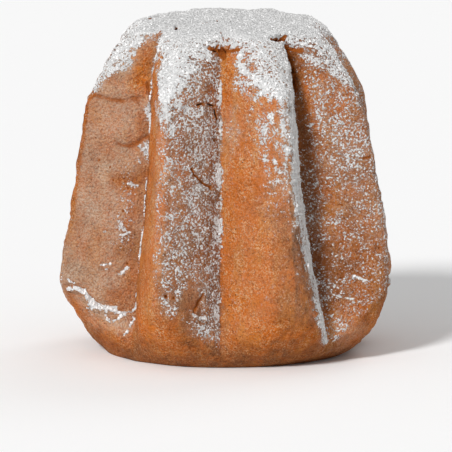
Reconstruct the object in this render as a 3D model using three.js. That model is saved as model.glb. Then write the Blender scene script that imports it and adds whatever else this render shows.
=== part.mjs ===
// Pandoro: a tall golden sweet loaf, baked in an eight-pointed star tin and turned out of it, so that the
// tin's narrow floor is now the top and the crust that rose out of its mouth is the rounded foot.
// Millimetres, +Z up. The origin is in the middle of the flat patch underneath, and a groove faces -Y.
// Azimuths are in degrees: 0 is the front, -Y, and a positive one is to the right of it.

import * as THREE from 'three';
import { LoftGeometry } from 'three/addons/geometries/LoftGeometry.js';
import { ImprovedNoise } from 'three/addons/math/ImprovedNoise.js';

// Driving sizes
const height = 208; // from the flat patch to the crown in the middle of the top
const restRadius = 76; // of the flat patch underneath
const crownRadius = 7; // of the small cap in the middle of the top
const bulgeHeight = 48; // where the loaf is widest, at the mouth of the tin
const grooveFootHeight = 17; // where a groove comes out of the rounded foot
const grooveTopHeight = 189; // where a groove meets the slope of the shoulders
const rim = { radius: 63.5, height: 207 }; // where shoulders and top would meet, were they not rounded
const topLean = { towards: - 8, degrees: 3, from: 150 }; // the top leans forwards

// Where the walls lean out, a groove's by a share of the way from its wall radius to its foot radius, and how
// far from its corner each rounding starts
const ridgeBowHeight = 92;
const grooveBow = { height: 82, share: 0.3 };
const ridgeRounding = { shoulder: 11, brow: 17 };
const grooveRounding = { shoulder: 5, brow: 12 };

// The rounded foot under a ridge, which curves from the flat patch by a low point and a flaring point up to the
// bulge. Each pair is for a round foot and for one that is cut flat.
const ridgeFoot = {
	low: { radius: [ 86, 82 ], height: [ 1, 3 ] },
	flare: { inset: [ 0, 5 ], height: [ 22, 31 ] }, // the inset is measured in from the bulge
};

// The rounded foot under a groove, in the same way, with its flaring point just inside the groove's foot
const grooveFoot = { low: { outset: 4, height: 0.8 }, flare: { inset: 0.5, height: 7 } };

// The eight grooves, from the front one on round to the right. The two turns, at the foot and at the top,
// are how far a groove stands from an even spacing. The three radii are at the foot, at the end of the wall
// and at the rim of the top.
const grooves = [
	{ turn: [ 0.7, 0 ], foot: 84, wall: 61.5, rim: 56 },
	{ turn: [ 0.6, - 1.6 ], foot: 92, wall: 60, rim: 55 },
	{ turn: [ 1.5, 0.6 ], foot: 86, wall: 61, rim: 55 },
	{ turn: [ - 0.4, - 1.2 ], foot: 83, wall: 62, rim: 56 },
	{ turn: [ 1.2, - 0.3 ], foot: 86, wall: 61, rim: 55 },
	{ turn: [ - 0.5, 1.0 ], foot: 84, wall: 61.5, rim: 56 },
	{ turn: [ 0.8, - 0.6 ], foot: 87, wall: 62, rim: 55 },
	{ turn: [ 1.2, - 1.2 ], foot: 79, wall: 59.5, rim: 53.5 },
];

// The eight ridges, each one to the right of the groove with its number. The bulge and the shoulder are its
// radii where it is widest and where it turns in, which is at the height turnsIn. The bow is the radius that
// the wall leans out to between the two. The chamfer is how flat the foot is cut, and 0 is a round foot.
const ridges = [
	{ turn: [ 2.6, 2.6 ], bulge: 110.5, bow: 104, shoulder: 94, turnsIn: 164, chamfer: 0.4 },
	{ turn: [ - 1.2, - 0.6 ], bulge: 112, bow: 113, shoulder: 93.5, turnsIn: 163, chamfer: 0.1 },
	{ turn: [ 1.4, 0.2 ], bulge: 113, bow: 105, shoulder: 92.5, turnsIn: 162, chamfer: 0 },
	{ turn: [ 0.4, - 1.2 ], bulge: 112.5, bow: 105, shoulder: 94, turnsIn: 166, chamfer: 0.4 },
	{ turn: [ 1.4, 0.2 ], bulge: 112, bow: 105, shoulder: 93, turnsIn: 163, chamfer: 0.7 },
	{ turn: [ - 0.8, 0.9 ], bulge: 110.5, bow: 104, shoulder: 90, turnsIn: 159, chamfer: 0.3 },
	{ turn: [ 0.2, - 1.0 ], bulge: 110.5, bow: 101, shoulder: 91.5, turnsIn: 162, chamfer: 1.5 },
	{ turn: [ 3.2, 0.8 ], bulge: 110.5, bow: 105, shoulder: 94, turnsIn: 165, chamfer: 0.5 },
];

// The crust in stretches, from the foot up to the crown: how many rings each is cut into, how far its flanks
// swell out in mm at its two ends, and how much of a flank the round edge of a ridge takes up there.
const stretches = {
	foot: { rows: 9, swell: [ 0, 4.5 ], edge: [ 0.6, 0.36 ] },
	wall: { rows: 13, swell: [ 4.5, 3 ], edge: [ 0.36, 0.3 ] },
	shoulder: { rows: 5, swell: [ 3, 2.5 ], edge: [ 0.3, 0.36 ] },
	slope: { rows: 3, swell: [ 2.5, 2.2 ], edge: [ 0.36, 0.5 ] },
	brow: { rows: 6, swell: [ 2.2, 0.2 ], edge: [ 0.5, 0.6 ] },
	top: { rows: 4, swell: [ 0.2, 0 ], edge: [ 0.6, 0.6 ] },
};
const flankSteps = 5; // points from a groove to the round edge of a ridge
const edgeSteps = 4; // points round that edge
const swellPlace = 0.32; // the share of the way from its groove to its ridge where a flank is fullest
const tipPasses = 4; // of moving a corner out until its round edge passes through the ridge's point

// Waves and folds move the crust away from and towards the nearest point of the loaf's heart, an upright line
// between these heights. They fade out over the lowest millimetres, so that the flat patch stays flat.
const heart = { low: 60, high: 140 };
const fadeOut = 18;

// Waves in the crust: how far it moves out and in, and how far apart the waves are
const lumps = [
	{ amplitude: 1.4, spacing: 62, seed: 3.7 },
	{ amplitude: 0.7, spacing: 23, seed: 11.3 },
];

// Broad folds where the dough creased against the tin. The tilt is how steeply a fold climbs to the right.
const folds = [
	{ azimuth: - 58, height: 36, tilt: - 30, length: 74, width: 9, depth: 2.6 },
	{ azimuth: - 54, height: 136, tilt: 14, length: 44, width: 9, depth: 1.5 },
	{ azimuth: - 9, height: 105, tilt: - 45, length: 44, width: 9, depth: 1.8 },
	{ azimuth: 62, height: 122, tilt: 10, length: 40, width: 9, depth: 1.5 },
	{ azimuth: 118, height: 76, tilt: 20, length: 60, width: 10, depth: 1.8 },
	{ azimuth: 171, height: 42, tilt: - 24, length: 66, width: 10, depth: 2.2 },
	{ azimuth: 214, height: 128, tilt: - 14, length: 50, width: 9, depth: 1.7 },
	{ azimuth: 256, height: 58, tilt: 30, length: 60, width: 10, depth: 1.9 },
];

const { degToRad, radToDeg, euclideanModulo, lerp, clamp, smoothstep } = THREE.MathUtils;
const noise = new ImprovedNoise();
const at = ( radius, z ) => new THREE.Vector2( radius, z );

// A rounded corner at b on the way from a to c, starting and ending so many mm from b.
function corner( a, b, c, reach ) {

	const before = b.clone().add( a.clone().sub( b ).setLength( reach ) );
	const after = b.clone().add( c.clone().sub( b ).setLength( reach ) );
	return new THREE.QuadraticBezierCurve( before, b, after );

}

// The crust in profile along one line, as a curve of radius against height for each stretch. The foot comes
// in at its four points, and the wall leans out to bow on its way to the shoulder.
function profile( { foot, bow, shoulder, brow, reach } ) {

	const crown = at( crownRadius, height );
	const turn = corner( bow, shoulder, brow, reach.shoulder );
	const round = corner( shoulder, brow, crown, reach.brow );
	return {
		foot: new THREE.CubicBezierCurve( ...foot ),
		wall: new THREE.QuadraticBezierCurve( foot[ 3 ], bow, turn.v0 ),
		shoulder: turn,
		slope: new THREE.LineCurve( turn.v2, round.v0 ),
		brow: round,
		top: new THREE.LineCurve( round.v2, crown ),
	};

}

function ridgeProfile( { bulge, bow, shoulder, turnsIn, chamfer } ) {

	const { low, flare } = ridgeFoot;
	return profile( {
		foot: [
			at( restRadius, 0 ),
			at( lerp( ...low.radius, chamfer ), lerp( ...low.height, chamfer ) ),
			at( bulge - lerp( ...flare.inset, chamfer ), lerp( ...flare.height, chamfer ) ),
			at( bulge, bulgeHeight ),
		],
		bow: at( bow, ridgeBowHeight ),
		shoulder: at( shoulder, turnsIn ),
		brow: at( rim.radius, rim.height ),
		reach: ridgeRounding,
	} );

}

function grooveProfile( groove ) {

	const { low, flare } = grooveFoot;
	return profile( {
		foot: [
			at( restRadius, 0 ),
			at( restRadius + low.outset, low.height ),
			at( groove.foot - flare.inset, flare.height ),
			at( groove.foot, grooveFootHeight ),
		],
		bow: at( lerp( groove.wall, groove.foot, grooveBow.share ), grooveBow.height ),
		shoulder: at( groove.wall, grooveTopHeight ),
		brow: at( groove.rim, rim.height ),
		reach: grooveRounding,
	} );

}

function around( azimuth, radius, z ) {

	const angle = degToRad( azimuth - 90 );
	return new THREE.Vector3( Math.cos( angle ) * radius, Math.sin( angle ) * radius, z );

}

// One flank, from its groove to where the round edge of the ridge begins: it swells out beside the groove
// and then runs straight.
function flank( groove, ridge, swell, edge ) {

	const along = ridge.clone().sub( groove );
	const out = new THREE.Vector3( along.y, - along.x, 0 ).normalize();
	if ( out.dot( groove ) < 0 ) out.negate();
	const full = groove.clone().addScaledVector( along, swellPlace ).addScaledVector( out, swell );
	return new THREE.QuadraticBezierCurve3( groove, full, full.clone().lerp( ridge, 1 - edge ) );

}

// The star outline of one ring, from the points where it crosses each groove and each ridge. Flanks meet in a
// corner that is rounded off, so the corner is moved out until the round edge passes through the ridge's point.
function ring( groovePoints, ridgePoints, swell, edge ) {

	const points = [];
	ridgePoints.forEach( ( ridge, i ) => {

		const tip = ridge.clone();
		let left, right, round;
		for ( let pass = 0; pass < tipPasses; pass ++ ) {

			left = flank( groovePoints[ i ], tip, swell, edge );
			right = flank( groovePoints[ ( i + 1 ) % grooves.length ], tip, swell, edge );
			round = new THREE.QuadraticBezierCurve3( left.v2, tip.clone(), right.v2 );
			tip.add( ridge ).sub( round.getPoint( 0.5 ) );

		}

		points.push( ...left.getPoints( flankSteps ).slice( 0, - 1 ) );
		points.push( ...round.getPoints( edgeSteps ).slice( 0, - 1 ) );
		points.push( ...right.getPoints( flankSteps ).reverse().slice( 0, - 1 ) );

	} );
	return points;

}

// How far a point of the crust is pushed in by the folds.
function foldDepth( point ) {

	const radius = Math.hypot( point.x, point.y );
	const azimuth = radToDeg( Math.atan2( point.x, - point.y ) );
	return folds.reduce( ( sum, fold ) => {

		const turn = euclideanModulo( azimuth - fold.azimuth + 180, 360 ) - 180;
		const across = degToRad( turn ) * radius;
		const up = point.z - fold.height;
		const tilt = degToRad( fold.tilt );
		const alongFold = across * Math.cos( tilt ) + up * Math.sin( tilt );
		const offFold = up * Math.cos( tilt ) - across * Math.sin( tilt );
		const fade = Math.exp( - ( ( alongFold / fold.length * 2 ) ** 4 ) );
		return sum + fold.depth * fade * Math.exp( - ( ( offFold / fold.width ) ** 2 ) );

	}, 0 );

}

// Moves a point of the crust out or in, away from the middle of the loaf, and lets the top lean. The flat
// patch underneath stays as it is.
function baked( point ) {

	const middle = new THREE.Vector3( 0, 0, clamp( point.z, heart.low, heart.high ) );
	const out = point.clone().sub( middle ).normalize();
	const waves = lumps.reduce( ( sum, { amplitude, spacing, seed } ) => {

		const p = point.clone().divideScalar( spacing ).addScalar( seed );
		return sum + amplitude * noise.noise( p.x, p.y, p.z );

	}, 0 );
	const move = ( waves - foldDepth( point ) ) * smoothstep( point.z, 0, fadeOut );
	const result = point.clone().addScaledVector( out, move );
	const downhill = around( topLean.towards, 1, 0 ).dot( point );
	const lean = Math.tan( degToRad( topLean.degrees ) ) * smoothstep( point.z, topLean.from, height );
	result.z -= downhill * lean;
	return result;

}

function crustRings() {

	const spacing = 360 / grooves.length;
	const grooveLines = grooves.map( ( groove, i ) => {

		return { azimuth: i * spacing, turn: groove.turn, curves: grooveProfile( groove ) };

	} );
	const ridgeLines = ridges.map( ( ridge, i ) => {

		return { azimuth: ( i + 0.5 ) * spacing, turn: ridge.turn, curves: ridgeProfile( ridge ) };

	} );

	const rings = [];
	for ( const [ name, { rows, swell, edge } ] of Object.entries( stretches ) ) {

		// The last ring of a stretch is the first of the next, so it is made only once.
		for ( let row = rings.length ? 1 : 0; row <= rows; row ++ ) {

			const t = row / rows;
			const ease = smoothstep( t, 0, 1 );
			const cross = ( { azimuth, turn, curves } ) => {

				const { x, y } = curves[ name ].getPoint( t );
				return around( azimuth + lerp( ...turn, y / height ), x, y );

			};

			const shape = [ lerp( ...swell, ease ), lerp( ...edge, ease ) ];
			rings.push( ring( grooveLines.map( cross ), ridgeLines.map( cross ), ...shape ).map( baked ) );

		}

	}

	return rings;

}

function pandoro() {

	const geometry = new LoftGeometry( crustRings(), { capStart: true, capEnd: true } );
	const crust = new THREE.MeshStandardMaterial( { color: 0xb8703c, roughness: 0.85, metalness: 0 } );
	const mesh = new THREE.Mesh( geometry, crust );
	mesh.name = 'pandoro';
	return mesh;

}

// The origin is centred under the finished crust, whatever its unevenness.
const loaf = new THREE.Group();
const mesh = pandoro();
loaf.add( mesh );
const box = new THREE.Box3().setFromObject( mesh );
const centre = box.getCenter( new THREE.Vector3() );
mesh.position.set( - centre.x, - centre.y, - box.min.z );

export default loaf;
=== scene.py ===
# A pandoro dusted with icing sugar, on a plain pale floor. Blender 4.5, metres, +Z up, the front is -Y.
# Azimuths are in degrees: 0 is the front, and a positive one is to the right of it.
import math

import bmesh
import bpy
import numpy as np
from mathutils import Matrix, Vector, noise
from mathutils.bvhtree import BVHTree


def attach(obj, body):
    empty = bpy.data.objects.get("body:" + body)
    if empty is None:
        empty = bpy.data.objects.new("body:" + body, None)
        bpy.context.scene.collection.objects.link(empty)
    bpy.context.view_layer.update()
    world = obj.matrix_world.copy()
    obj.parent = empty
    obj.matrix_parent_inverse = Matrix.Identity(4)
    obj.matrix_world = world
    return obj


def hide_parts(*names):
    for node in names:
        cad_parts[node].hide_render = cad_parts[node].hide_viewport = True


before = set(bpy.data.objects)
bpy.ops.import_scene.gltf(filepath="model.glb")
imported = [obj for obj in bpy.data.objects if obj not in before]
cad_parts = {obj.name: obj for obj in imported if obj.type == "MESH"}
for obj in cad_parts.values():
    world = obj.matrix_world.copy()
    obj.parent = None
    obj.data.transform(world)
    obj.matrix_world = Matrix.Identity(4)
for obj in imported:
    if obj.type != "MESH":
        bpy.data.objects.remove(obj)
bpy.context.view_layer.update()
print("frame loaded")

mm = 0.001

# The star that the tin gave the loaf: where its axis stands, and how many degrees each groove and each ridge
# is off an even spacing, at the foot and at the top. Lobe 0 is the one to the right of the front groove.
star = {
    "axis": (-1.445 * mm, 0.627 * mm),
    "height": 208 * mm,
    "lobes": 8,
    "spacing": 45,
    "grooves": [(0.7, 0), (0.6, -1.6), (1.5, 0.6), (-0.4, -1.2),
                (1.2, -0.3), (-0.5, 1.0), (0.8, -0.6), (1.2, -1.2)],
    "ridges": [(2.6, 2.6), (-1.2, -0.6), (1.4, 0.2), (0.4, -1.2),
               (1.4, 0.2), (-0.8, 0.9), (0.2, -1.0), (3.2, 0.8)],
    "flank": 45 * mm,  # from a groove out to its ridge, along the crust
}


def smooth(low, high, values):
    t = np.clip((values - low) / (high - low), 0, 1)
    return t * t * (3 - 2 * t)


def wrap(degrees):
    return (degrees + 180) % 360 - 180


def starLine(index, turns, climb):
    return index * star["spacing"] + turns[0] + (turns[1] - turns[0]) * climb


# Azimuth, lobe, whether on a lobe's right flank, and the share of the way from the groove to the ridge.
def starPlace(points):
    across = points[:, 0] - star["axis"][0]
    away = points[:, 1] - star["axis"][1]
    azimuth = np.degrees(np.arctan2(across, -away))
    climb = np.clip(points[:, 2] / star["height"], 0, 1)
    lobe = np.zeros(len(points), int)
    right = np.zeros(len(points), bool)
    share = np.zeros(len(points))
    for i in range(star["lobes"]):
        ridge = starLine(i + 0.5, star["ridges"][i], climb)
        left = ridge - starLine(i, star["grooves"][i], climb)
        far = starLine(i + 1, star["grooves"][(i + 1) % star["lobes"]], climb) - ridge
        off = wrap(azimuth - ridge)
        here = (off >= -left) & (off < far)
        lobe[here] = i
        right[here] = off[here] > 0
        share[here] = 1 - np.abs(off[here]) / np.where(off[here] > 0, far[here], left[here])
    return azimuth, lobe, right, share


# The last number is only there to make one noise unlike another.
def noiseAt(points, spacing, offset=0.0):
    shift = Vector((offset, offset * 0.7, offset * 1.3))
    return np.array([noise.noise(Vector(p) / spacing + shift) for p in points])


crustShape = {
    "merge": 0.002 * mm,  # corners closer than this are one
    "joinAngles": (50, 60),  # how far two triangles may be from flat and from square to become one face
    "levels": 2,  # of subdivision
    "grooveAngle": 22,  # a hollow edge sharper than this stays a crease
    "grooveCrease": 0.8,
    "waves": [(19 * mm, 0.9 * mm), (8 * mm, 0.85 * mm), (3.8 * mm, 0.65 * mm)],  # spacing and height
    "wrinkles": {"spacing": 9 * mm, "flatness": 2.2, "depth": 0.9 * mm, "width": 0.16,
                 "patches": 24 * mm, "strong": (-0.1, 0.35)},
    "fineReach": (2.2 * mm, 1.3 * mm),  # of the finer mesh round a crease, for each pass of cuts
    "step": 2 * mm,  # along a crease
    "evenFoot": (0.5 * mm, 9 * mm),  # the heights where the relief starts and where it is whole
    "sugarDepth": 0.4 * mm,
    "thickSugar": (0.45, 0.8),  # how dense the specks are where they start to lie thick, and where they do
}

# Cracks, creases and folds. The points of a path on the wall are azimuth and height, and those of one on the
# top are azimuth and distance from the axis. Width, depth and lip are in mm, and the lip is how far the crust
# stands out below the cut. Dark is how dark the inside is, first in the torn crust's colour and then in
# painted shade, 0.3 unless it is given, and sugar lies on the lip.
creases = [
    # the torn notch at the top of the front groove, and the crack that runs up from it
    {"path": [(-6, 196.6), (-3.2, 195.4), (0.5, 195)], "width": 1.8, "depth": 1.4, "dark": 0.42},
    {"path": [(0.5, 195), (5, 194.4), (10, 195)], "width": 1.5, "depth": 1.2, "dark": 0.42},
    {"path": [(0.8, 195), (1.2, 190)], "width": 2.2, "depth": 2.0, "dark": 0.45},
    {"path": [(-2.6, 195), (-1.4, 198.4)], "width": 1.1, "depth": 1.1, "dark": 0.4},
    {"path": [(3.4, 194.8), (5.2, 197.4)], "width": 0.9, "depth": 0.8, "dark": 0.35},
    {"path": [(-4.2, 195.8), (-2, 195.2)], "width": 0.9, "depth": 1.5, "dark": 0.85},
    {"path": [(0.2, 196.6), (0.8, 195)], "width": 0.7, "depth": 1.2, "dark": 0.7},
    {"top": [(-1.7, 44.5), (-0.4, 49), (1.7, 56.4)], "width": 0.7, "depth": 1.2, "dark": 0.3},
    # the pit and the notch at the top of the groove to the right, the deep upper end of that groove, and the
    # crack over the left groove
    {"top": [(29.8, 61), (33.3, 59.7), (39.5, 56)], "width": 1.7, "depth": 2.2, "dark": 0.9},
    {"top": [(38, 57), (45.5, 54)], "width": 1.8, "depth": 1.4, "dark": 0.45},
    {"path": [(44.2, 195), (47.5, 193.4), (51.5, 193)], "width": 1.9, "depth": 1.6, "dark": 0.42},
    {"path": [(44, 193.5), (44.2, 184), (44.8, 168)], "width": 2.3, "depth": 2.8, "dark": 0.68},
    {"top": [(-50, 37.5), (-44, 41.5), (-39.5, 45.5)], "width": 1.1, "depth": 1.6, "dark": 0.9},
    # the kink and the curved fold of the left lobe
    {"path": [(-68, 164.5), (-65, 164), (-58, 161), (-53.5, 162.2), (-49, 163)], "width": 2.3, "depth": 2.4,
     "lip": 0.9, "dark": 0.36},
    {"path": [(-57, 134), (-53, 133), (-49.6, 136), (-47, 139)], "width": 1.8, "depth": 2.4, "lip": 1.1,
     "dark": 0.38},
    {"path": [(-47.6, 172), (-47, 168), (-46.4, 163)], "width": 0.8, "depth": 1.2, "dark": 0.5},
    # the ledge at the mouth of the tin, which holds sugar
    {"path": [(-65.6, 44.6), (-62.3, 45.8), (-60, 44.4)], "width": 1.4, "depth": 1.0, "lip": 1.1,
     "sugar": 1.1},
    {"path": [(-60.4, 44.4), (-59, 41.4), (-58, 39)], "width": 1.0, "depth": 1.0, "lip": 0.9, "sugar": 1.3},
    {"path": [(-58, 39), (-56.8, 37), (-56, 35.4)], "width": 1.3, "depth": 1.2, "lip": 1.1, "sugar": 1.15},
    {"path": [(-56.4, 35.4), (-53.5, 34.6), (-51, 34.4)], "width": 1.6, "depth": 1.5, "lip": 1.2, "dark": 0.2,
     "sugar": 1.1},
    {"path": [(-60, 32.8), (-57, 33.8), (-55.5, 34.2)], "width": 0.7, "depth": 0.4, "sugar": 1},
    {"path": [(-51.3, 33.6), (-49.8, 31.6), (-47.4, 31)], "width": 1.1, "depth": 0.8, "lip": 0.6,
     "sugar": 1.2},
    {"path": [(-53.2, 29), (-52, 25.8), (-50, 26.4), (-49, 29.4)], "width": 0.8, "depth": 0.7, "lip": 0.6,
     "sugar": 1.1},
    {"path": [(-46.3, 31.6), (-44.8, 33.4), (-44.3, 37)], "width": 0.9, "depth": 0.8, "lip": 0.6,
     "sugar": 1.2},
    {"path": [(-45.2, 28), (-45.6, 24), (-46.5, 18)], "width": 0.8, "depth": 0.6, "lip": 0.4, "sugar": 1.1},
    # smaller ones of the left lobe
    {"path": [(-55.9, 60.2), (-53.7, 61)], "width": 0.8, "depth": 0.9, "lip": 0.6, "sugar": 1},
    {"path": [(-56.6, 56.8), (-54.2, 57.6)], "width": 0.55, "depth": 0.5, "lip": 0.3, "sugar": 0.9},
    {"path": [(-50.6, 54.8), (-48.9, 59.4)], "width": 0.9, "depth": 0.9, "lip": 0.6, "sugar": 0.75},
    {"path": [(-56.8, 80.4), (-54.7, 81.4), (-52.5, 81.4)], "width": 0.6, "depth": 0.5, "lip": 0.3,
     "sugar": 0.8},
    {"path": [(-51.5, 78.9), (-49.6, 80.6)], "width": 1.0, "depth": 0.9, "lip": 0.6, "sugar": 0.9},
    {"path": [(-64.6, 50.4), (-63.1, 48.2)], "width": 0.7, "depth": 0.6, "lip": 0.4, "sugar": 0.9},
    {"path": [(-53, 111), (-50.5, 110.4), (-48.8, 109.4)], "width": 0.9, "depth": 0.8, "lip": 0.5,
     "sugar": 0.8},
    # the front left lobe
    {"path": [(-11, 124), (-10.4, 120.5), (-7.4, 115), (-4.4, 111.4)], "width": 0.85, "depth": 1.5,
     "lip": 0.5, "dark": 0.68},
    {"path": [(-5.9, 48), (-7.1, 43.4), (-8.4, 38.9)], "width": 1.1, "depth": 1.3, "lip": 0.5, "dark": 0.5},
    {"path": [(-9, 37), (-7, 34.6), (-5.4, 34.4)], "width": 1.0, "depth": 0.7, "lip": 0.6, "sugar": 1},
    {"path": [(-9.9, 162.7), (-8, 163)], "width": 0.9, "depth": 1.4, "dark": 1},
    {"path": [(-5.6, 162.6), (-3.3, 161)], "width": 0.9, "depth": 1.4, "dark": 1},
    {"path": [(-2.9, 158.6), (-1.9, 152.4)], "width": 0.9, "depth": 1.4, "dark": 0.9},
    {"path": [(-22.6, 159.4), (-19.3, 158.6), (-16.9, 160.6)], "width": 1.5, "depth": 1.2, "lip": 0.7,
     "dark": 0.15},
    {"path": [(-20.5, 143.6), (-18.6, 142.6), (-16.5, 143)], "width": 1.2, "depth": 0.9, "lip": 0.5},
    # the front right lobe and the one behind it
    {"path": [(14.5, 102.6), (16.8, 103.6)], "width": 0.8, "depth": 0.7, "lip": 0.4},
    {"path": [(18.6, 75.9), (20.1, 77.6)], "width": 0.8, "depth": 0.8, "dark": 0.3},
    {"path": [(49.6, 44), (51.8, 42), (54.2, 41.2)], "width": 0.8, "depth": 0.9, "lip": 0.5, "sugar": 1},
    {"path": [(56.2, 55.6), (58.4, 52.4)], "width": 0.9, "depth": 1.0, "lip": 0.6, "dark": 0.3, "sugar": 0.9},
    {"path": [(63.4, 126.4), (65.2, 127)], "width": 0.8, "depth": 1.2, "lip": 0.5, "dark": 0.7},
    {"path": [(54.9, 98.3), (56.1, 98)], "width": 0.6, "depth": 1.0, "dark": 0.65},
    {"path": [(57, 82.2), (58.2, 81.4)], "width": 0.6, "depth": 1.0, "lip": 0.5, "dark": 0.7, "sugar": 0.5},
    # the sides and the back
    {"path": [(84, 66), (79, 60), (76, 61)], "width": 1.3, "depth": 1.3, "lip": 0.8, "dark": 0.2,
     "sugar": 0.9},
    {"path": [(100, 112), (105, 109), (108, 111)], "width": 1.1, "depth": 1.2, "lip": 0.6, "dark": 0.25},
    {"path": [(103, 38), (109, 41), (116, 38), (120, 40)], "width": 1.4, "depth": 1.3, "lip": 1.0,
     "sugar": 1},
    {"path": [(126, 150), (122, 144), (118, 145)], "width": 1.4, "depth": 1.2, "lip": 0.7, "dark": 0.2},
    {"path": [(146, 88), (152, 84), (155, 86)], "width": 1.1, "depth": 1.2, "lip": 0.6, "dark": 0.4,
     "sugar": 0.6},
    {"path": [(164, 132), (169, 134), (173, 131)], "width": 1.3, "depth": 1.3, "lip": 0.7, "sugar": 0.5},
    {"path": [(178.5, 196), (183, 193.5), (188, 195)], "width": 1.5, "depth": 2.2, "dark": 0.8},
    {"path": [(190, 52), (197, 48), (203, 50), (207, 47)], "width": 1.5, "depth": 1.3, "lip": 1.0,
     "sugar": 1},
    {"path": [(208, 140), (214, 137), (218, 139)], "width": 1.2, "depth": 1.2, "lip": 0.6, "dark": 0.2},
    {"path": [(233, 84), (238, 90), (243, 91)], "width": 1.1, "depth": 1.2, "lip": 0.6, "dark": 0.3,
     "sugar": 0.7},
    {"path": [(252, 44), (259, 40), (264, 43)], "width": 1.4, "depth": 1.3, "lip": 0.9, "sugar": 1},
    {"path": [(262, 122), (255, 118), (251, 120)], "width": 1.2, "depth": 1.2, "lip": 0.6, "dark": 0.4},
    {"top": [(128, 50), (134, 54), (141, 53)], "width": 1.2, "depth": 1.6, "dark": 0.9},
    {"top": [(246, 46), (253, 50), (258, 49)], "width": 1.1, "depth": 1.5, "dark": 0.8},
]

pits = [  # azimuth, height, radius and depth
    (-2.3, 140, 1.0, 1.3), (-16.8, 48.5, 1.5, 1.5), (-14.6, 47.4, 1.2, 1.2), (-56.6, 112, 0.8, 0.9),
    (-51.7, 107, 0.8, 0.9), (-61.5, 124, 0.8, 0.9), (-58, 120, 0.8, 0.9), (-52.4, 93, 1.0, 1.1),
    (-48.8, 60.8, 1.1, 1.2), (57.2, 65, 0.8, 1.0), (63.6, 71, 0.8, 1.0), (71, 104, 0.9, 1.0),
    (96, 71, 0.9, 1.1), (119, 96, 1.0, 1.1), (139, 118, 0.9, 1.1), (160, 70, 1.0, 1.2),
    (176, 101, 0.9, 1.0), (199, 114, 1.0, 1.1), (222, 62, 1.1, 1.2), (247, 135, 0.9, 1.1),
    (270, 78, 1.0, 1.2), (282, 120, 0.9, 1.1), (289, 64, 1.0, 1.2),
]


# The CAD solid's mesh as clean four-sided faces, with its groove lines kept as creases.
def mergedCopy(node):
    bm = bmesh.new()
    bm.from_mesh(node.data)
    bmesh.ops.remove_doubles(bm, verts=bm.verts, dist=crustShape["merge"])
    flatter, squarer = crustShape["joinAngles"]
    bmesh.ops.join_triangles(bm, faces=bm.faces, angle_face_threshold=math.radians(flatter),
                             angle_shape_threshold=math.radians(squarer))
    crease = bm.edges.layers.float.new("crease_edge")
    hollow = -math.radians(crustShape["grooveAngle"])
    for edge in bm.edges:
        if len(edge.link_faces) == 2 and edge.calc_face_angle_signed() < hollow:
            edge[crease] = crustShape["grooveCrease"]
    mesh = bpy.data.meshes.new("pandoroCrust")
    bm.to_mesh(mesh)
    print("merged copy:", len(bm.faces), "faces,", sum(1 for e in bm.edges if e[crease]), "creased edges")
    bm.free()
    crust = bpy.data.objects.new("pandoroCrust", mesh)
    bpy.context.scene.collection.objects.link(crust)
    return crust


def applyModifiers(piece):
    shown = piece.evaluated_get(bpy.context.evaluated_depsgraph_get())
    mesh = bpy.data.meshes.new_from_object(shown)
    old = piece.data
    piece.modifiers.clear()
    piece.data = mesh
    mesh.name = piece.name
    bpy.data.meshes.remove(old)


def subdivide(piece):
    finer = piece.modifiers.new("finer", "SUBSURF")
    finer.levels = finer.render_levels = crustShape["levels"]
    applyModifiers(piece)


def outward(azimuth):
    angle = math.radians(azimuth)
    return Vector((math.sin(angle), -math.cos(angle), 0))


def onWall(tree, azimuth, height):
    start = Vector((*star["axis"], height * mm))
    return tree.ray_cast(start, outward(azimuth))[0]


def onTop(tree, azimuth, radius):
    start = Vector((*star["axis"], 2 * star["height"])) + outward(azimuth) * radius * mm
    return tree.ray_cast(start, Vector((0, 0, -1)))[0]


# A crease's points, laid on the crust a short step apart.
def tracePath(tree, crease):
    place, corners = (onTop, crease["top"]) if "top" in crease else (onWall, crease["path"])
    points = []
    for a, b in zip(corners, corners[1:]):
        steps = max(1, round((place(tree, *a) - place(tree, *b)).length / crustShape["step"]))
        for k in range(steps):
            points.append(place(tree, a[0] + (b[0] - a[0]) * k / steps, a[1] + (b[1] - a[1]) * k / steps))
    points.append(place(tree, *corners[-1]))
    return np.array(points)


# How far points are from a path, and how far above it they are.
def pathDistance(points, path):
    best = np.full(len(points), 1.0)
    above = np.zeros(len(points))
    for a, b in zip(path, path[1:]):
        along = b - a
        t = np.clip(((points - a) @ along) / (along @ along), 0, 1)
        off = points - (a + t[:, None] * along)
        distance = np.linalg.norm(off, axis=1)
        nearer = distance < best
        best[nearer] = distance[nearer]
        above[nearer] = off[nearer, 2]
    return best, above


# Cuts the faces round the creases smaller.
def refineRound(bm, paths):
    for reach in crustShape["fineReach"]:
        bm.faces.ensure_lookup_table()
        centres = np.array([face.calc_center_median() for face in bm.faces])
        near = np.zeros(len(centres), bool)
        for path in paths:
            near |= pathDistance(centres, path)[0] < reach
        edges = {edge for i in np.nonzero(near)[0] for edge in bm.faces[i].edges}
        bmesh.ops.subdivide_edges(bm, edges=list(edges), cuts=1, use_grid_fill=True)
        bm.faces.ensure_lookup_table()
    bm.normal_update()


# How far the crust moves out for the low waves and the wrinkles that it has all over.
def crustWaves(points):
    move = np.zeros(len(points))
    for k, (spacing, height) in enumerate(crustShape["waves"]):
        move += height * noiseAt(points, spacing, 5.3 * k)
    wrinkles = crustShape["wrinkles"]
    folded = noiseAt(points * (1, 1, wrinkles["flatness"]), wrinkles["spacing"], 8.8)
    strong = smooth(*wrinkles["strong"], noiseAt(points, wrinkles["patches"], 6.1))
    return move - wrinkles["depth"] * strong * np.exp(-((folded / wrinkles["width"]) ** 2))


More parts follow.
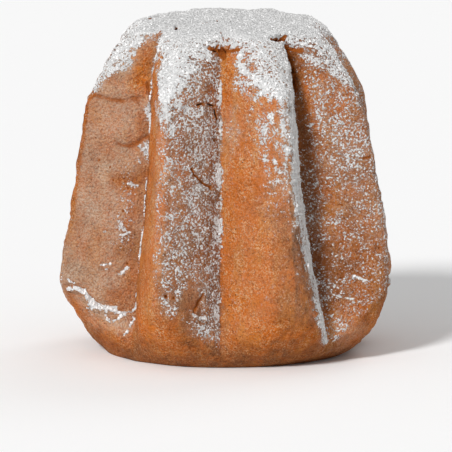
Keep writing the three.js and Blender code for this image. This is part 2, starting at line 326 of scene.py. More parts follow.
# A crease's section, in widths of it, and how its line, its darkness and its sugar waver. A waver is a
# spacing, an amount and the noise's own offset.
creaseCut = {
    "reach": 8,
    "lipAt": 1.7,
    "sugarAt": 0.7,
    "sugarSpread": 1.2,
    "darkEdge": 1.25,  # a greater number makes the dark narrower
    "fray": (2.5 * mm, 0.5, 0.0),
    "sway": (7 * mm, 0.6, 4.4),
    "darkWaver": (5 * mm, 0.5, 2.7),
    "sugarWaver": (3.2 * mm, 1.7, 9.2),
}
# a pit's dark is painted shade inside it, over the torn crust's colour
pitCut = {"reach": 3, "dark": 0.78, "darkEdge": 1.15}  # the reach in radii


def waver(points, values):
    spacing, amount, offset = values
    return amount * noiseAt(points, spacing, offset)


# Presses a crease in: the cut, the lip below it, how dark it is, in the torn crust's colour and then in
# painted shade, and how much sugar its lip holds.
def pressCrease(crease, path, points, move, crack, ledge):
    width = crease["width"] * mm
    reach = np.ptp(path, axis=0) / 2 + creaseCut["reach"] * width
    near = np.nonzero((np.abs(points - path.mean(axis=0)) < reach).all(axis=1))[0]
    here = points[near]
    distance, above = pathDistance(here, path)
    ragged = distance * (1 + waver(here, creaseCut["fray"]) + waver(here, creaseCut["sway"]))
    move[near] -= crease["depth"] * mm * np.exp(-((ragged / width) ** 2))
    lip = np.exp(-(((ragged - creaseCut["lipAt"] * width) / width) ** 2)) * smooth(0.2, -0.8, above / width)
    move[near] += crease.get("lip", 0) * mm * lip
    dark = crease.get("dark", 0.3) * np.clip(0.96 + waver(here, creaseCut["darkWaver"]), 0.5, 1.1)
    edge = np.exp(-((ragged / width * creaseCut["darkEdge"]) ** 4))
    crack[near] = np.maximum(crack[near], dark * edge)
    offSugar = (ragged - creaseCut["sugarAt"] * width) / (creaseCut["sugarSpread"] * width)
    laid = np.exp(-(offSugar ** 2)) * smooth(0.7, -0.4, above / width)
    laid *= np.clip(1.0 + waver(here, creaseCut["sugarWaver"]), 0, 1)
    ledge[near] = np.maximum(ledge[near], np.clip(crease.get("sugar", 0) * laid, 0, 1))


def pressPit(pit, centre, points, move, crack):
    _, _, radius, depth = pit
    distance = np.linalg.norm(points - centre, axis=1) / (radius * mm)
    near = distance < pitCut["reach"]
    move[near] -= depth * mm * np.exp(-(distance[near] ** 2))
    dark = pitCut["dark"] * np.exp(-((distance[near] * pitCut["darkEdge"]) ** 4))
    crack[near] = np.maximum(crack[near], dark)


# How far the crust moves out at each point, and how much of a crack and how much ledge sugar is there.
def crustRelief(points, paths, pitPoints):
    move = crustWaves(points)
    crack = np.zeros(len(points))
    ledge = np.zeros(len(points))
    for crease, path in zip(creases, paths):
        pressCrease(crease, path, points, move, crack, ledge)
    for pit, centre in zip(pits, pitPoints):
        pressPit(pit, centre, points, move, crack)
    return move, crack, ledge


# For the left and the right flank of each lobe, from lobe 0 on round to the right: how much of it is covered
# by specks, by a film of single grains and by bigger dabs, and how much browner than golden its crust is,
# partly browning and partly painted shade.
dusting = [
    {"left": (0.1, 0.1, 0.16, 0.0), "right": (0.70, 0.6, 0.2, 0.5)},
    {"left": (0.4, 0.14, 0.2, 0.6), "right": (0.45, 0.4, 0.2, 0.85)},
    {"left": (0.38, 0.3, 0.2, 0.3), "right": (0.44, 0.3, 0.16, 0.6)},
    {"left": (0.28, 0.35, 0.14, 0.1), "right": (0.42, 0.2, 0.1, 0.6)},
    {"left": (0.4, 0.25, 0.2, 0.3), "right": (0.34, 0.4, 0.14, 0.35)},
    {"left": (0.3, 0.3, 0.1, 0.1), "right": (0.44, 0.25, 0.12, 0.6)},
    {"left": (0.38, 0.3, 0.2, 0.25), "right": (0.08, 0.56, 0.06, 0.55)},
    {"left": (0.06, 0.03, 0.06, 0.0), "right": (0.46, 0.2, 0.14, 0.8)},
]

# Every height from here to the patches is in mm, and a share is of the way from a groove to its ridge.
# Towards its ridge a flank takes on half of the other flank's dusting, but on the lobe named only high up.
ridgeMix = {"share": 0.86, "amount": 0.5, "lobe": 0, "heights": (75, 120)}
# the lowest sugar on a flank
sugarLine = {"groove": 5, "ridge": 40, "curve": 0.7, "blur": 8, "waver": (12 * mm, 6, 2.1)}
patchiness = {"spacing": 16 * mm, "specks": 0.16}
filmSwing = {"waver": (11 * mm, 0.8, 4.9), "middle": 0.95, "limits": (0.3, 1.4), "atGroove": 0.3}
# the ridge that lost its film of sugar
worn = {"lobe": 6, "shares": (0.9, 0.955), "heights": (60, 95)}
# A flank with more specks than this is white all over. It loses them towards its ridge, and more so low down.
white = {"over": 0.6, "share": 0.5, "higher": 0.47, "heights": (35, 115), "edge": (-0.14, 0.2),
         "waver": (4 * mm, 0.25, 6.6), "specks": 0.85, "film": 0.8}
# what lies on the shoulders and the top, by how far up the crust faces
fall = {"facing": (0.22, 0.56), "waver": (6 * mm, 0.1, 3.3), "heights": (120, 150), "flat": (0.75, 0.95),
        "shoulder": 0.66, "top": 0.95, "film": 0.1, "topFilm": 0.3, "dabs": 0.3}
# The line of sugar in each groove. It is narrower on the flank to the right of the groove.
grooveSugar = {"width": 2.2, "amount": 0.85, "film": 0.2, "bead": 1.1, "waver": (15 * mm, 1.6, 1.7),
               "foot": (10, 30), "end": (195, 180), "narrower": [2.5, 0.9, 2.5, 2.5, 2.5, 2.5, 2.5, 2.5],
               "amounts": [0.75, 0.7, 0.6, 0.8, 0.55, 0.7, 0.6, 1.25]}  # both lists are by lobe
footDarker = {"from": 48, "full": 12, "least": 0.1, "more": 0.6, "rim": (25, 5)}
# Painted shade: the flanks that lie in the shade of a deep groove, and the lobe whose groove is painted dark
# up to the top.
shade = {"share": 0.42, "less": 0.15, "heights": (115, 150), "whole": 0.1, "waver": 0.12,
         "lobe": 1, "topShares": (0.25, 0.1), "topHeights": (150, 175)}

# Places with more or less of each: azimuth and height, half the width in degrees and half the height.
sugarPatches = [
    # the front right lobe
    {"at": (5, 146), "size": (5, 14), "specks": 0.16, "film": 0.35},
    {"at": (12, 150), "size": (6, 14), "specks": 0.14, "film": 0.05},
    {"at": (18.5, 148), "size": (3.4, 19), "specks": 0.36, "film": 0.12},
    {"at": (24, 150), "size": (2.8, 20), "specks": 0.2, "film": 0.15},
    {"at": (20, 112), "size": (3.6, 24), "specks": 0.26, "film": 0.05},
    {"at": (13, 186), "size": (9, 12), "specks": -0.06},
    {"at": (9, 179), "size": (6, 10), "specks": 0.42, "film": 0.12},
    {"at": (16, 172), "size": (5, 8), "specks": 0.25, "film": 0.1},
    # browning here is painted shade, where the ridge turns away from the light
    {"at": (23.5, 60), "size": (4.8, 48), "browningAndShade": 0.55},
    {"at": (21, 112), "size": (4, 30), "browningAndShade": 0.2},
    # the front groove
    {"at": (3.4, 181), "size": (2.2, 11), "specks": -0.8, "film": -0.5},
    {"at": (0.2, 117), "size": (2.2, 7), "specks": 0.45, "film": 0.2},
    {"at": (-0.5, 84), "size": (2.4, 9), "specks": 0.25, "film": 0.1},
    {"at": (-0.8, 37), "size": (2.4, 7), "specks": 0.2, "film": 0.05},
    {"at": (-2.6, 34), "size": (3.4, 20), "specks": -0.04, "browningAndShade": 0.75},
    # the front left lobe
    {"at": (-28, 182), "size": (10, 14), "specks": 0.06},
    {"at": (-24, 160), "size": (7, 9), "specks": 0.35, "film": 0.2},
    {"at": (-21.5, 120), "size": (3.6, 75), "specks": 0.14, "film": 0.12, "browningAndShade": -0.4},
    {"at": (-16, 115), "size": (3, 75), "specks": -0.04, "browningAndShade": -0.2},
    {"at": (-10, 45), "size": (3.6, 7), "specks": -0.6, "film": -0.1},
    {"at": (-8, 25), "size": (6.5, 9), "specks": 0.06, "film": 0.02, "browningAndShade": 0.25},
    # the groove between the front left lobe and the left one
    {"at": (-42, 186), "size": (4, 12), "specks": 0.5, "film": 0.2},
    {"at": (-46.8, 155), "size": (1.3, 6), "specks": 0.7, "film": 0.5},
    {"at": (-47, 132), "size": (1.8, 6), "specks": 0.6, "film": 0.4},
    # the left lobe
    {"at": (-50, 193), "size": (4.5, 14), "specks": -0.42, "film": -0.1, "browningAndShade": -0.2},
    {"at": (-58, 186), "size": (7, 9), "specks": 0.25, "film": 0.1},
    {"at": (-51, 175), "size": (6, 10), "specks": -0.2, "film": -0.3, "browningAndShade": -0.2},
    {"at": (-52, 165), "size": (7, 7), "film": 0.15, "browningAndShade": -0.4},
    {"at": (-52, 100), "size": (4, 24), "specks": 0.28, "film": -0.2},
    {"at": (-50, 76), "size": (4, 8), "specks": 0.25, "film": -0.2},
    {"at": (-58, 24), "size": (9, 9), "specks": 0.2, "film": 0.35},
    # the right lobe
    {"at": (45.5, 178), "size": (3, 18), "specks": -0.2, "film": -0.3},
    {"at": (56, 165), "size": (8, 16), "browningAndShade": -0.25},
    {"at": (51, 158), "size": (4, 22), "specks": 0.04, "browningAndShade": -0.2},
    # browning here is painted shade beside the deep groove
    {"at": (46.3, 147), "size": (2, 20), "specks": -0.22, "film": -0.2, "browningAndShade": 0.2},
    {"at": (60, 132), "size": (4, 12), "specks": 0.08, "film": 0.1},
    {"at": (58, 56), "size": (9, 28), "specks": -0.05, "film": -0.16},
    {"at": (55, 18), "size": (7, 10), "specks": 0.12, "film": 0.3},
]


# The dusting of the flanks alone: specks, film and dabs, and how brown the crust is, partly browning and
# partly painted shade.
def flankDusting(points, height, lobe, right, share, patchy):
    sides = np.array([[d["left"], d["right"]] for d in dusting])
    own = sides[lobe, right.astype(int)]
    other = sides[lobe, 1 - right.astype(int)]
    high = np.where(lobe == ridgeMix["lobe"], smooth(*ridgeMix["heights"], height), 1)
    mixed = ridgeMix["amount"] * (smooth(ridgeMix["share"], 1, share) * high)[:, None]
    flank = own * (1 - mixed) + other * mixed

    line = sugarLine["groove"] + (sugarLine["ridge"] - sugarLine["groove"]) * share ** sugarLine["curve"]
    line = line + waver(points, sugarLine["waver"])
    reaches = smooth(line - sugarLine["blur"], line + sugarLine["blur"], height)
    specks = flank[:, 0] * reaches * (1 + patchiness["specks"] * patchy)
    swing = np.clip(filmSwing["middle"] + waver(points, filmSwing["waver"]), *filmSwing["limits"])
    film = flank[:, 1] * reaches * swing
    film *= filmSwing["atGroove"] + (1 - filmSwing["atGroove"]) * smooth(0, 0.5, share + 0.6 * patchy)
    film *= 1 - (lobe == worn["lobe"]) * smooth(*worn["shares"], share) * smooth(*worn["heights"], height)

    whole = own[:, 0] > white["over"]
    toRidge = share - (white["share"] + white["higher"] * smooth(*white["heights"], height))
    bare = smooth(*white["edge"], toRidge + waver(points, white["waver"]))
    specks[whole] *= (1 - white["specks"] * bare[whole]) * (1.04 - 0.12 * share[whole])
    film[whole] *= 1 - white["film"] * bare[whole]
    return specks, film, flank[:, 2] * reaches, flank[:, 3]


def flatTop(up):
    return smooth(*fall["flat"], up)


def grooveLine(points, height, lobe, right, share, torn):
    side = np.where(right, 1, np.array(grooveSugar["narrower"])[lobe])
    offLine = share * star["flank"] / mm * side
    offLine *= 1 + 0.6 * torn
    uneven = 0.5 + waver(points * (0, 0, 1), grooveSugar["waver"]) + 1.2 * torn
    line = np.exp(-((offLine / grooveSugar["width"]) ** 2)) * smooth(*grooveSugar["foot"], height)
    line *= smooth(*grooveSugar["end"], height)
    return np.clip(line * uneven * np.array(grooveSugar["amounts"])[lobe], 0, 1)


# How dense specks, film and dabs are at each point, how brown the crust is there, partly browning and partly
# painted shade, how much painted shade falls on it in the deep grooves, and how much sugar stands up from a
# groove.
def sugarCover(points, up, crack, ledge):
    azimuth, lobe, right, share = starPlace(points)
    height = points[:, 2] / mm
    patchy = noiseAt(points, patchiness["spacing"], 7.7)
    torn = noiseAt(points, 4 * mm, 5.9)
    specks, film, dabs, brownAndShade = flankDusting(points, height, lobe, right, share, patchy)

    # what fell on the shoulders and the top
    lies = smooth(*fall["facing"], up + waver(points, fall["waver"])) * smooth(*fall["heights"], height)
    specks = np.maximum(specks, lies * (fall["shoulder"] + (fall["top"] - fall["shoulder"]) * flatTop(up)))
    film = np.maximum(film, lies * (fall["film"] + fall["topFilm"] * flatTop(up)))
    dabs = np.maximum(dabs, lies * fall["dabs"])

    # what slid into the grooves
    inGroove = grooveLine(points, height, lobe, right, share, torn)
    specks = np.maximum(specks, grooveSugar["amount"] * inGroove)
    film = np.maximum(film, grooveSugar["film"] * inGroove * right)

    # darker further down the foot
    foot = smooth(footDarker["from"], footDarker["full"], height)
    rim = footDarker["least"] + footDarker["more"] * smooth(*footDarker["rim"], height)
    browningAndShade = brownAndShade * (1 - foot) + foot * rim
    for patch in sugarPatches:
        aside = wrap(azimuth - patch["at"][0]) / patch["size"][0]
        off = (height - patch["at"][1]) / patch["size"][1]
        here = np.exp(-((np.hypot(aside, off) * (1 + 0.8 * torn)) ** 3))
        specks = specks + patch.get("specks", 0) * here
        film = film + patch.get("film", 0) * here
        browningAndShade = browningAndShade + patch.get("browningAndShade", 0) * here

    # none in the cracks, and more on the ledges
    whole = 1 - smooth(0.1, 0.5, crack)
    specks = np.maximum(np.clip(specks, 0, 1) * whole, ledge)
    film = np.maximum(np.clip(film, 0, 1) * whole, 0.8 * ledge)

    reach = shade["share"] - shade["less"] * smooth(*shade["heights"], height)
    inShade = (~right) * (lobe % 2 == 1) * (1 - foot)
    shaded = smooth(reach, shade["whole"], share + shade["waver"] * patchy) * inShade
    atTop = smooth(*shade["topShares"], share) * smooth(*shade["topHeights"], height)
    shaded = np.maximum(shaded, atTop * (lobe == shade["lobe"]) * (~right))
    cover = {"specks": specks, "film": film, "dabs": dabs * whole,
             "browningAndShade": np.clip(browningAndShade, 0, 1), "shaded": shaded}
    return cover, inGroove * specks


# Sets a socket to a number or a colour, or links it.
def feed(tree, socket, given):
    if isinstance(given, (int, float)):
        socket.default_value = given
    elif isinstance(given, tuple):
        socket.default_value = (*given, 1)
    else:
        tree.links.new(given, socket)


def addNode(tree, kind, **values):
    made = tree.nodes.new(kind)
    for name, value in values.items():
        if name in made.inputs:
            made.inputs[name].default_value = value
        else:
            setattr(made, name, value)
    return made


def noiseNode(tree, place, scale, detail=4.0, roughness=0.55):
    made = addNode(tree, "ShaderNodeTexNoise", Scale=scale, Detail=detail, Roughness=roughness)
    tree.links.new(place, made.inputs["Vector"])
    return made.outputs["Fac"]


# How far a point is from the middle of the round cell it is in.
def cellNode(tree, place, scale):
    made = addNode(tree, "ShaderNodeTexVoronoi", Scale=scale)
    tree.links.new(place, made.inputs["Vector"])
    return made.outputs["Distance"]


def vectorNode(tree, operation, place, by):
    made = addNode(tree, "ShaderNodeVectorMath", operation=operation)
    tree.links.new(place, made.inputs[0])
    made.inputs[1].default_value = by
    return made.outputs[0]


def mathNode(tree, operation, *inputs, clamp=False):
    made = addNode(tree, "ShaderNodeMath", operation=operation, use_clamp=clamp)
    for socket, given in zip(made.inputs, inputs):
        feed(tree, socket, given)
    return made.outputs[0]


def rangeNode(tree, value, low, high, toLow=0.0, toHigh=1.0):
    made = addNode(tree, "ShaderNodeMapRange", interpolation_type="SMOOTHSTEP")
    for socket, given in zip(made.inputs, (value, low, high, toLow, toHigh)):
        feed(tree, socket, given)
    return made.outputs[0]


def mixColour(tree, share, a, b):
    made = addNode(tree, "ShaderNodeMix", data_type="RGBA")
    for socket, given in ((made.inputs[0], share), (made.inputs[6], a), (made.inputs[7], b)):
        feed(tree, socket, given)
    return made.outputs[2]


def attribute(tree, name):
    return addNode(tree, "ShaderNodeAttribute", attribute_name=name).outputs["Fac"]


# The sugar's pattern: rounded specks and bigger dabs. A weight is how far something moves the field, and a
# greater level means less sugar.
speckLook = {
    "noise": {"scale": 650, "weight": 0.75},
    "cells": {"scale": 877.5, "weight": 0.26, "middle": 0.47},
    "ledges": {"scale": 700, "weight": 0.3, "step": 0.5 * mm},  # the upper side of the crust's pores
    "clusters": {"scale": 190, "weight": 0.37},
    "specks": {"weight": 0.68, "level": 0.327},
    "dabs": {"scale": 330, "weight": 0.6, "level": 0.31},
}


# Where the crust carries sugar: above 0 where it does. The crust's finish and the loose grains share it.
def speckField(tree, place, specks, dabs):
    look = speckLook
    higher = vectorNode(tree, "ADD", place, (0, 0, look["ledges"]["step"]))
    ledges = mathNode(tree, "SUBTRACT", noiseNode(tree, place, look["ledges"]["scale"], 2),
                      noiseNode(tree, higher, look["ledges"]["scale"], 2))
    clusters = mathNode(tree, "SUBTRACT", noiseNode(tree, place, look["clusters"]["scale"], 3), 0.5)
    dots = mathNode(tree, "SUBTRACT", look["cells"]["middle"], cellNode(tree, place, look["cells"]["scale"]))
    bumps = mathNode(tree, "SUBTRACT", noiseNode(tree, place, look["noise"]["scale"], 2.2, 0.65), 0.5)
    field = mathNode(tree, "MULTIPLY", bumps, look["noise"]["weight"])
    field = mathNode(tree, "MULTIPLY_ADD", dots, look["cells"]["weight"], field)
    field = mathNode(tree, "MULTIPLY_ADD", ledges, look["ledges"]["weight"], field)
    field = mathNode(tree, "MULTIPLY_ADD", clusters, look["clusters"]["weight"], field)
    field = mathNode(tree, "SUBTRACT", field, look["specks"]["level"])
    fine = mathNode(tree, "MULTIPLY_ADD", specks, look["specks"]["weight"], field)
    lumps = mathNode(tree, "SUBTRACT", noiseNode(tree, place, look["dabs"]["scale"], 3, 0.65), 0.5)
    lumps = mathNode(tree, "SUBTRACT", lumps, look["dabs"]["level"])
    big = mathNode(tree, "MULTIPLY_ADD", dabs, look["dabs"]["weight"], lumps)
    return mathNode(tree, "MAXIMUM", fine, big)


# Colours and noise scales. A noise has a wave of about 1.5 m over its scale.
crustLook = {
    "golden": (0.72, 0.180, 0.019),
    "brownAndShade": (0.29, 0.100, 0.032),
    "pale": (0.82, 0.48, 0.25),
    "deep": (0.42, 0.092, 0.011),
    # dark is painted shade: in the deep grooves, between thick specks, in pinholes and, with deep, in the
    # hollows
    "dark": (0.11, 0.036, 0.014),
    "torn": (0.44, 0.120, 0.018),
    "ochre": (0.72, 0.255, 0.046),
    # hollow is painted shade inside the darkest cracks and pits
    "hollow": (0.030, 0.012, 0.007),
    "sugar": (0.88, 0.875, 0.87),
    "thinSugar": (0.79, 0.785, 0.78),
    "veil": (0.76, 0.60, 0.46),
    "roughness": 0.7,
    "sugarRoughness": 0.95,
    "gloss": 0.1,
    "relief": 2.7 * mm,
    "browningScale": 45,
    "patchScale": 75,
    "streakScale": 110,
    "streakHeight": 0.22,  # their scale upwards, as a share of the one across
    "grainScale": 330,
    "poreScale": 700,
    "dustScale": 900,
    "filmScale": 780,
    "pinholeScale": 250,
    "pinholePatches": 160,
    "sugarScale": 900,
}


# Baked colour: broad browning, in part painted shade; pale grain on what stands out and a deeper colour in
# the hollows, partly the crust's own and partly painted shade; painted shade in the deep grooves and between
# thick specks; and the insides of the cracks.
def bakedColour(tree, place, pores, grain, dust):
    look = crustLook
    broad = mathNode(tree, "SUBTRACT", noiseNode(tree, place, look["browningScale"], 5, 0.65), 0.5)
    browningAndShade = mathNode(tree, "MULTIPLY_ADD", broad, 1.7, attribute(tree, "browningAndShade"), clamp=True)
    upright = vectorNode(tree, "MULTIPLY", place, (1, 1, look["streakHeight"]))
    streaks = rangeNode(tree, noiseNode(tree, upright, look["streakScale"], 4, 0.7), 0.44, 0.62, 0, 0.75)
    colour = mixColour(tree, streaks, look["golden"], look["ochre"])
    colour = mixColour(tree, browningAndShade, colour, look["brownAndShade"])
    deeperAndShaded = mixColour(tree, browningAndShade, look["deep"], look["dark"])
    patches = rangeNode(tree, noiseNode(tree, place, look["patchScale"], 4, 0.65), 0.38, 0.64, 0.2, 1)
    lessOnBrownAndShade = rangeNode(tree, attribute(tree, "browningAndShade"), 0, 0.8, 1, 0.4)
    patches = mathNode(tree, "MULTIPLY", patches, lessOnBrownAndShade)
    paler = mathNode(tree, "MULTIPLY", rangeNode(tree, dust, 0.49, 0.60), patches)
    colour = mixColour(tree, paler, colour, look["pale"])
    colour = mixColour(tree, rangeNode(tree, grain, 0.46, 0.33, 0, 0.65), colour, deeperAndShaded)
    colour = mixColour(tree, rangeNode(tree, pores, 0.46, 0.30, 0, 0.85), colour, deeperAndShaded)
    # painted shade on the flanks in the deep grooves, where the next lobe's shadow falls
    shaded = mathNode(tree, "MULTIPLY", attribute(tree, "shaded"), 0.5)
    colour = mixColour(tree, shaded, colour, look["dark"])
    # painted shade on the crust between thick specks of sugar
    shadeUnderSugar = rangeNode(tree, attribute(tree, "specks"), 0.42, 0.7, 0, 0.55)
    colour = mixColour(tree, shadeUnderSugar, colour, look["dark"])
    # the insides of the cracks and pits: the torn crust's own colour, then painted shade where they are
    # darkest
    crack = attribute(tree, "crack")
    colour = mixColour(tree, rangeNode(tree, crack, 0.1, 0.4), colour, look["torn"])
    return mixColour(tree, rangeNode(tree, crack, 0.5, 0.9), colour, look["hollow"])


def crustMaterial():
    look = crustLook
    material = bpy.data.materials.new("crust")
    material.use_nodes = True
    tree = material.node_tree
    shader = tree.nodes["Principled BSDF"]
    place = addNode(tree, "ShaderNodeTexCoord").outputs["Object"]
    pores = noiseNode(tree, place, look["poreScale"], 3, 0.6)
    grain = noiseNode(tree, place, look["grainScale"], 5, 0.7)
    dust = noiseNode(tree, place, look["dustScale"], 2, 0.7)
    colour = bakedColour(tree, place, pores, grain, dust)

    # a film of single grains, then pinholes in the crust, drawn dark as painted shade
    thin = rangeNode(tree, noiseNode(tree, place, look["filmScale"], 2.5, 0.75), 0.40, 0.60, 0.4, 1)
    film = mathNode(tree, "MULTIPLY", attribute(tree, "film"), thin, clamp=True)
    colour = mixColour(tree, film, colour, look["veil"])
    pinholes = mathNode(tree, "MULTIPLY",
                        rangeNode(tree, cellNode(tree, place, look["pinholeScale"]), 0.16, 0.07),
                        rangeNode(tree, noiseNode(tree, place, look["pinholePatches"], 2), 0.52, 0.6))
    colour = mixColour(tree, mathNode(tree, "MULTIPLY", pinholes, 0.75), colour, look["dark"])

    # specks of sugar with a thin veil round each
    field = speckField(tree, place, attribute(tree, "specks"), attribute(tree, "dabs"))
    core = rangeNode(tree, field, -0.02, 0.05)
    sugar = mathNode(tree, "MAXIMUM", core, rangeNode(tree, field, -0.12, 0.02, 0, 0.25))
    uneven = rangeNode(tree, noiseNode(tree, place, look["sugarScale"], 3, 0.7), 0.56, 0.36, 0, 0.6)
    colour = mixColour(tree, sugar, colour, mixColour(tree, uneven, look["sugar"], look["thinSugar"]))
    tree.links.new(colour, shader.inputs["Base Color"])
    matt = rangeNode(tree, sugar, 0, 1, look["roughness"], look["sugarRoughness"])
    tree.links.new(matt, shader.inputs["Roughness"])
    shader.inputs["Specular IOR Level"].default_value = look["gloss"]

    # relief too fine for the mesh
    fine = mathNode(tree, "MULTIPLY_ADD", grain, 1.6, pores)
    fine = mathNode(tree, "MULTIPLY_ADD", dust, 0.4, fine)
    fine = mathNode(tree, "MULTIPLY_ADD", core, 0.25, fine)
    fine = mathNode(tree, "MULTIPLY_ADD", pinholes, -0.25, fine)
    bump = addNode(tree, "ShaderNodeBump", Strength=1.0, Distance=look["relief"])
    tree.links.new(fine, bump.inputs["Height"])
    tree.links.new(bump.outputs[0], shader.inputs["Normal"])
    return material


def pointVectors(mesh, name):
    values = np.empty(len(mesh.vertices) * 3)
    mesh.vertices.foreach_get(name, values)
    return values.reshape(-1, 3)


def setPointValues(mesh, name, values):
    mesh.attributes.new(name, "FLOAT", "POINT").data.foreach_set("value", np.asarray(values, np.float32))


# How much less loose sugar lies on the flat top, and how much more of its clumps in the grooves.
icingFall = {"dust": 0.7, "clumps": 0.93, "grooves": 2.5}


def buildCrust():
    crust = mergedCopy(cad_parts["pandoro"])
    subdivide(crust)
    bm = bmesh.new()
    bm.from_mesh(crust.data)
    tree = BVHTree.FromBMesh(bm)
    paths = [tracePath(tree, crease) for crease in creases]
    pitPoints = [np.array(onWall(tree, azimuth, height)) for azimuth, height, _, _ in pits]
    refineRound(bm, paths + [np.array([p, p + (0, 0, mm)]) for p in pitPoints])
    bm.to_mesh(crust.data)
    bm.free()

    mesh = crust.data
    points = pointVectors(mesh, "co")
    normals = pointVectors(mesh, "normal")
    up = normals[:, 2]
    move, crack, ledge = crustRelief(points, paths, pitPoints)
    move *= smooth(*crustShape["evenFoot"], points[:, 2])
    cover, bead = sugarCover(points, up, crack, ledge)
    thick = np.maximum(ledge, cover["specks"] * smooth(*crustShape["thickSugar"], cover["specks"]))
    move += crustShape["sugarDepth"] * thick + grooveSugar["bead"] * mm * bead
    grains = cover["specks"] * (1 - icingFall["dust"] * flatTop(up))
    heaps = thick * (1 - icingFall["clumps"] * flatTop(up)) + icingFall["grooves"] * bead
    mesh.vertices.foreach_set("co", (points + normals * move[:, None]).ravel())
    for name, values in {**cover, "crack": crack, "grains": grains, "heaps": heaps}.items():
        setPointValues(mesh, name, values)
    mesh.shade_smooth()
    mesh.update()
    mesh.materials.clear()
    mesh.materials.append(crustMaterial())
    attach(crust, "root")
    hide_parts("pandoro")
    print("crust:", len(points), "points,", sum(len(p.vertices) - 2 for p in mesh.polygons), "triangles")
    return crust


# Sugar that stands up from the crust, as real grains: how many for each square metre fully covered, the least
# and the greatest half width, how flat they are, how far the field has to be above 0, and the attribute that
# thins them out.
icing = {
    "icingDust": {"density": 1.0e6, "size": (0.25 * mm, 0.5 * mm), "flat": 0.7, "above": 0.03,
                  "by": "grains", "segments": 4, "rings": 2, "seed": 3},
    "icingClumps": {"density": 1.6e5, "size": (0.45 * mm, 0.95 * mm), "flat": 0.55, "above": 0.09,
                    "by": "heaps", "segments": 5, "rings": 3, "seed": 8},
}
grainShape = {"least": 0.8, "most": 1.3, "tilt": 0.5}  # how uneven each grain is, and its tilt in radians
icingLook = {"sugar": (0.88, 0.875, 0.87), "thin": (0.72, 0.715, 0.71), "roughness": 0.9, "gloss": 0.3,
             "scale": 900}


def sugarMaterial():
    material = bpy.data.materials.new("icing")
    material.use_nodes = True
    tree = material.node_tree
    shader = tree.nodes["Principled BSDF"]
    place = addNode(tree, "ShaderNodeTexCoord").outputs["Object"]
    uneven = rangeNode(tree, noiseNode(tree, place, icingLook["scale"], 3, 0.7), 0.62, 0.32, 0, 0.6)
    colour = mixColour(tree, uneven, icingLook["sugar"], icingLook["thin"])
    tree.links.new(colour, shader.inputs["Base Color"])
    shader.inputs["Roughness"].default_value = icingLook["roughness"]
    shader.inputs["Specular IOR Level"].default_value = icingLook["gloss"]
    return material


def pointValue(tree, name):
    return addNode(tree, "GeometryNodeInputNamedAttribute", data_type="FLOAT", Name=name).outputs[0]


def randomVector(tree, seed, low, high):
    made = addNode(tree, "FunctionNodeRandomValue", data_type="FLOAT_VECTOR", Seed=seed)
    made.inputs[0].default_value = low
    made.inputs[1].default_value = high
    return made.outputs[0]


# Scatters grains over the crust where its finish shows sugar.
def scatterNodes(values, material):
    tree = bpy.data.node_groups.new("scatter", "GeometryNodeTree")
    tree.interface.new_socket("Geometry", in_out="INPUT", socket_type="NodeSocketGeometry")
    tree.interface.new_socket("Geometry", in_out="OUTPUT", socket_type="NodeSocketGeometry")
    crust = tree.nodes.new("NodeGroupInput").outputs[0]
    place = tree.nodes.new("GeometryNodeInputPosition").outputs[0]
    spread = addNode(tree, "GeometryNodeDistributePointsOnFaces", Seed=values["seed"])
    tree.links.new(crust, spread.inputs["Mesh"])
    density = mathNode(tree, "MULTIPLY", pointValue(tree, values["by"]), values["density"])
    tree.links.new(density, spread.inputs["Density"])
    field = speckField(tree, place, pointValue(tree, "specks"), pointValue(tree, "dabs"))
    wanted = mathNode(tree, "GREATER_THAN", field, values["above"])

    # one grain, and how big it is, how uneven and how it is turned
    grain = addNode(tree, "GeometryNodeMeshUVSphere", Radius=1.0,
                    Segments=values["segments"], Rings=values["rings"])
    size = addNode(tree, "FunctionNodeRandomValue", data_type="FLOAT", Seed=values["seed"] + 1)
    size.inputs[2].default_value, size.inputs[3].default_value = values["size"]
    least, most, tilt = grainShape["least"], grainShape["most"], grainShape["tilt"]
    shape = randomVector(tree, values["seed"] + 2, (least, least, least * values["flat"]),
                         (most, most, most * values["flat"]))
    scale = addNode(tree, "ShaderNodeVectorMath", operation="SCALE")
    tree.links.new(shape, scale.inputs[0])
    tree.links.new(size.outputs[1], scale.inputs["Scale"])
    turn = randomVector(tree, values["seed"] + 3, (-tilt, -tilt, 0), (tilt, tilt, 6.28))
    turned = addNode(tree, "FunctionNodeRotateRotation", rotation_space="LOCAL")
    tree.links.new(spread.outputs["Rotation"], turned.inputs[0])
    tree.links.new(turn, turned.inputs[1])

    put = tree.nodes.new("GeometryNodeInstanceOnPoints")
    tree.links.new(spread.outputs["Points"], put.inputs["Points"])
    tree.links.new(wanted, put.inputs["Selection"])
    tree.links.new(grain.outputs["Mesh"], put.inputs["Instance"])
    tree.links.new(turned.outputs[0], put.inputs["Rotation"])
    tree.links.new(scale.outputs[0], put.inputs["Scale"])
    real = tree.nodes.new("GeometryNodeRealizeInstances")
    tree.links.new(put.outputs[0], real.inputs[0])
    dressed = addNode(tree, "GeometryNodeSetMaterial", Material=material)
    tree.links.new(real.outputs[0], dressed.inputs[0])
    tree.links.new(dressed.outputs[0], tree.nodes.new("NodeGroupOutput").inputs[0])
    return tree


def buildIcing(crust):
    material = sugarMaterial()
    for name, values in icing.items():
        piece = bpy.data.objects.new(name, crust.data.copy())
        bpy.context.scene.collection.objects.link(piece)
        piece.modifiers.new("scatter", "NODES").node_group = scatterNodes(values, material)
        applyModifiers(piece)
        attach(piece, "root")
        each = values["segments"] * (values["rings"] - 1) * 2
        print(name + ":", sum(len(p.vertices) - 2 for p in piece.data.polygons) // each, "grains of", each)


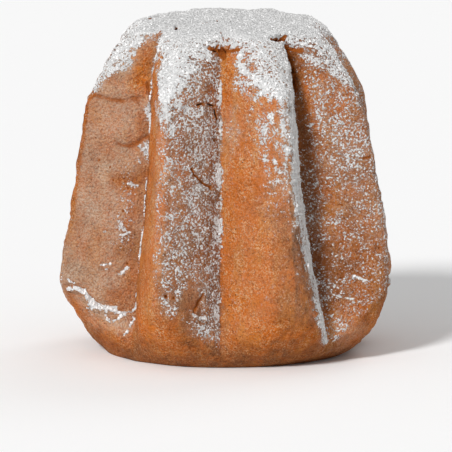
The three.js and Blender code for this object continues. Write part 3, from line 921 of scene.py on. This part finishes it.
studio = {
    "floor": {"colour": (0.96, 0.96, 0.96), "roughness": 0.9, "size": 60},
    "world": 0.44,
    "backdrop": 0.94,  # how bright the far background is to the camera
    "key": {"azimuth": -25, "elevation": 33, "strength": 2.76, "angle": 10},
    "back": {"azimuth": 150, "elevation": 45, "strength": 0.35, "angle": 30},
}
# what it aims at is across and up, and wide is the width seen there
view = {"azimuth": 2.5, "elevation": 8, "distance": 3.0, "aim": (-1.0 * mm, 77.5 * mm), "wide": 0.2841,
        "sensor": 36}


def direction(azimuth, elevation):
    flat = outward(azimuth) * math.cos(math.radians(elevation))
    return flat + Vector((0, 0, math.sin(math.radians(elevation))))


def buildFloor():
    values = studio["floor"]
    bm = bmesh.new()
    bmesh.ops.create_grid(bm, x_segments=1, y_segments=1, size=values["size"])
    mesh = bpy.data.meshes.new("floor")
    bm.to_mesh(mesh)
    bm.free()
    floor = bpy.data.objects.new("floor", mesh)
    bpy.context.scene.collection.objects.link(floor)
    paint = bpy.data.materials.new("floorPaint")
    paint.use_nodes = True
    shader = paint.node_tree.nodes["Principled BSDF"]
    shader.inputs["Base Color"].default_value = (*values["colour"], 1)
    shader.inputs["Roughness"].default_value = values["roughness"]
    mesh.materials.append(paint)


def buildLight():
    world = bpy.data.worlds.new("studio")
    world.use_nodes = True
    tree = world.node_tree
    tree.nodes["Background"].inputs["Color"].default_value = (1, 1, 1, 1)
    seen = tree.nodes.new("ShaderNodeLightPath").outputs["Is Camera Ray"]
    bright = rangeNode(tree, seen, 0, 1, studio["world"], studio["backdrop"])
    tree.links.new(bright, tree.nodes["Background"].inputs["Strength"])
    bpy.context.scene.world = world
    for name in ("key", "back"):
        values = studio[name]
        sun = bpy.data.lights.new(name, "SUN")
        sun.energy = values["strength"]
        sun.angle = math.radians(values["angle"])
        lamp = bpy.data.objects.new(name, sun)
        towards = direction(values["azimuth"], values["elevation"])
        lamp.rotation_euler = towards.to_track_quat("Z", "Y").to_euler()
        bpy.context.scene.collection.objects.link(lamp)


def buildCamera():
    camera = bpy.data.objects.new("camera", bpy.data.cameras.new("camera"))
    back = direction(view["azimuth"], view["elevation"])
    turn = math.radians(view["azimuth"])
    aside = Vector((math.cos(turn), math.sin(turn), 0))
    camera.location = aside * view["aim"][0] + Vector((0, 0, view["aim"][1])) + back * view["distance"]
    camera.rotation_euler = back.to_track_quat("Z", "Y").to_euler()
    camera.data.sensor_width = view["sensor"]
    camera.data.lens = view["sensor"] * view["distance"] / view["wide"]
    bpy.context.scene.collection.objects.link(camera)
    bpy.context.scene.camera = camera
    bpy.context.scene.view_settings.view_transform = "Standard"


buildIcing(buildCrust())
buildFloor()
buildLight()
buildCamera()
print("studio ready")
